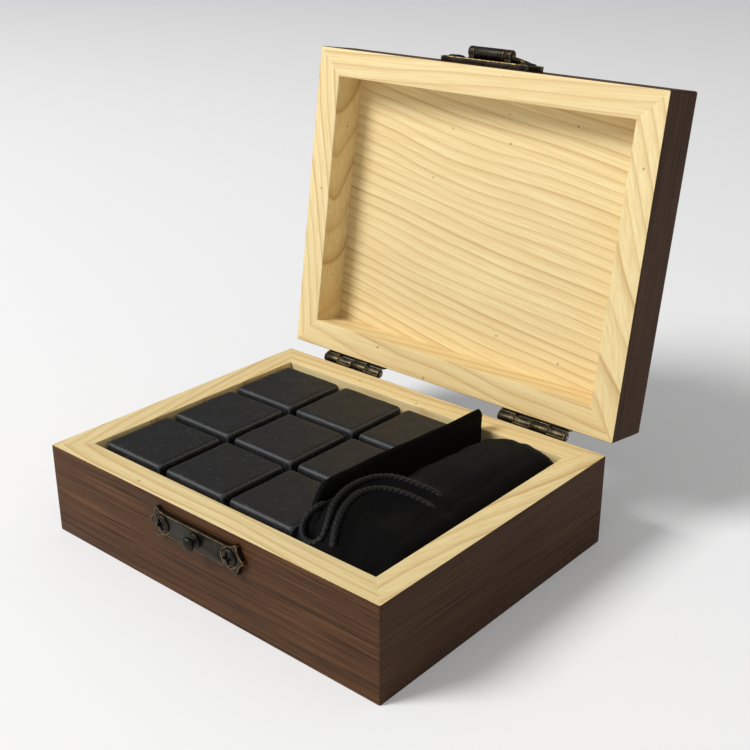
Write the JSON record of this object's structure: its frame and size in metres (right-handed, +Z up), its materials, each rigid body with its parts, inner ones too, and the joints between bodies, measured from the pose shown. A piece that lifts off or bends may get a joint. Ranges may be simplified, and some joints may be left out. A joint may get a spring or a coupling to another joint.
{
  "type": "hinged case of basalt stones",
  "caption": "Small hinged wooden case with a bronze hasp latch, holding rounded basalt cubes in a grid beside a folded velvet drawstring pouch.",
  "frame": {"origin": "centre of the bottom board's underside, on the surface the case stands on", "axes": "+Z up, -Y towards the front with the latch, +X to the right seen from the front"},
  "size_m": [0.104, 0.1189, 0.1101],
  "materials": {
    "stained_pine": "dark walnut stain on pine, satin; inside faces and rims left pale and unstained",
    "antique_bronze": "antiqued, near black with edges worn to a dull gold",
    "hinge_bronze": "antiqued, dull",
    "basalt": "honed, satin, with fine pale specks",
    "velvet": "short-pile velvet",
    "braided_cord": "braided"
  },
  "bodies": {
    "base": {"base_bottom_board": "stained_pine", "base_front_board": "stained_pine", "base_right_board": "stained_pine", "base_back_board": "stained_pine", "base_left_board": "stained_pine", "left_hinge_base_leaf": "hinge_bronze", "left_hinge_pin": "hinge_bronze", "left_hinge_base_screw_1": "hinge_bronze", "left_hinge_base_screw_2": "hinge_bronze", "right_hinge_base_leaf": "hinge_bronze", "right_hinge_pin": "hinge_bronze", "right_hinge_base_screw_1": "hinge_bronze", "right_hinge_base_screw_2": "hinge_bronze", "latch_keeper_plate": "antique_bronze", "latch_knob": "antique_bronze", "keeper_screw_left": "antique_bronze", "keeper_screw_right": "antique_bronze"},
    "lid": {"lid_top_board": "stained_pine", "lid_front_board": "stained_pine", "lid_right_board": "stained_pine", "lid_back_board": "stained_pine", "lid_left_board": "stained_pine", "left_hinge_lid_leaf": "hinge_bronze", "left_hinge_lid_screw_1": "hinge_bronze", "left_hinge_lid_screw_2": "hinge_bronze", "right_hinge_lid_leaf": "hinge_bronze", "right_hinge_lid_screw_1": "hinge_bronze", "right_hinge_lid_screw_2": "hinge_bronze", "latch_lid_plate": "antique_bronze", "latch_pin": "antique_bronze", "lid_plate_screw_left": "antique_bronze", "lid_plate_screw_right": "antique_bronze"},
    "hasp": {"latch_tongue": "antique_bronze"},
    "stone_1": {"stone_1": "basalt"},
    "stone_2": {"stone_2": "basalt"},
    "stone_3": {"stone_3": "basalt"},
    "stone_4": {"stone_4": "basalt"},
    "stone_5": {"stone_5": "basalt"},
    "stone_6": {"stone_6": "basalt"},
    "stone_7": {"stone_7": "basalt"},
    "stone_8": {"stone_8": "basalt"},
    "stone_9": {"stone_9": "basalt"},
    "pouch": {"pouch_body": "velvet", "pouch_flap": "velvet", "drawstring_outer": "braided_cord", "drawstring_inner": "braided_cord"}
  },
  "joints": [
    {"name": "lid_hinge", "type": "hinge", "parent": "base", "child": "lid", "pos_m": [0, 0.043, 0.02335], "axis": [-1, 0, 0], "range_deg": [-98.8, 0]},
    {"name": "hasp_hinge", "type": "hinge", "parent": "lid", "child": "hasp", "pos_m": [0.0008, 0.06062, 0.10876], "axis": [-1, 0, 0], "range_deg": [-196, 0]},
    {"name": "stone_1_lift", "type": "slide", "parent": "base", "child": "stone_1", "axis": [0, 0, 1], "range_m": [0, 0.03]},
    {"name": "stone_2_lift", "type": "slide", "parent": "base", "child": "stone_2", "axis": [0, 0, 1], "range_m": [0, 0.03]},
    {"name": "stone_3_lift", "type": "slide", "parent": "base", "child": "stone_3", "axis": [0, 0, 1], "range_m": [0, 0.03]},
    {"name": "stone_4_lift", "type": "slide", "parent": "base", "child": "stone_4", "axis": [0, 0, 1], "range_m": [0, 0.03]},
    {"name": "stone_5_lift", "type": "slide", "parent": "base", "child": "stone_5", "axis": [0, 0, 1], "range_m": [0, 0.03]},
    {"name": "stone_6_lift", "type": "slide", "parent": "base", "child": "stone_6", "axis": [0, 0, 1], "range_m": [0, 0.03]},
    {"name": "stone_7_lift", "type": "slide", "parent": "base", "child": "stone_7", "axis": [0, 0, 1], "range_m": [0, 0.03]},
    {"name": "stone_8_lift", "type": "slide", "parent": "base", "child": "stone_8", "axis": [0, 0, 1], "range_m": [0, 0.03]},
    {"name": "stone_9_lift", "type": "slide", "parent": "base", "child": "stone_9", "axis": [0, 0, 1], "range_m": [0, 0.03]},
    {"name": "pouch_lift", "type": "slide", "parent": "base", "child": "pouch", "axis": [0, 0, 1], "range_m": [0, 0.035]}
  ]
}
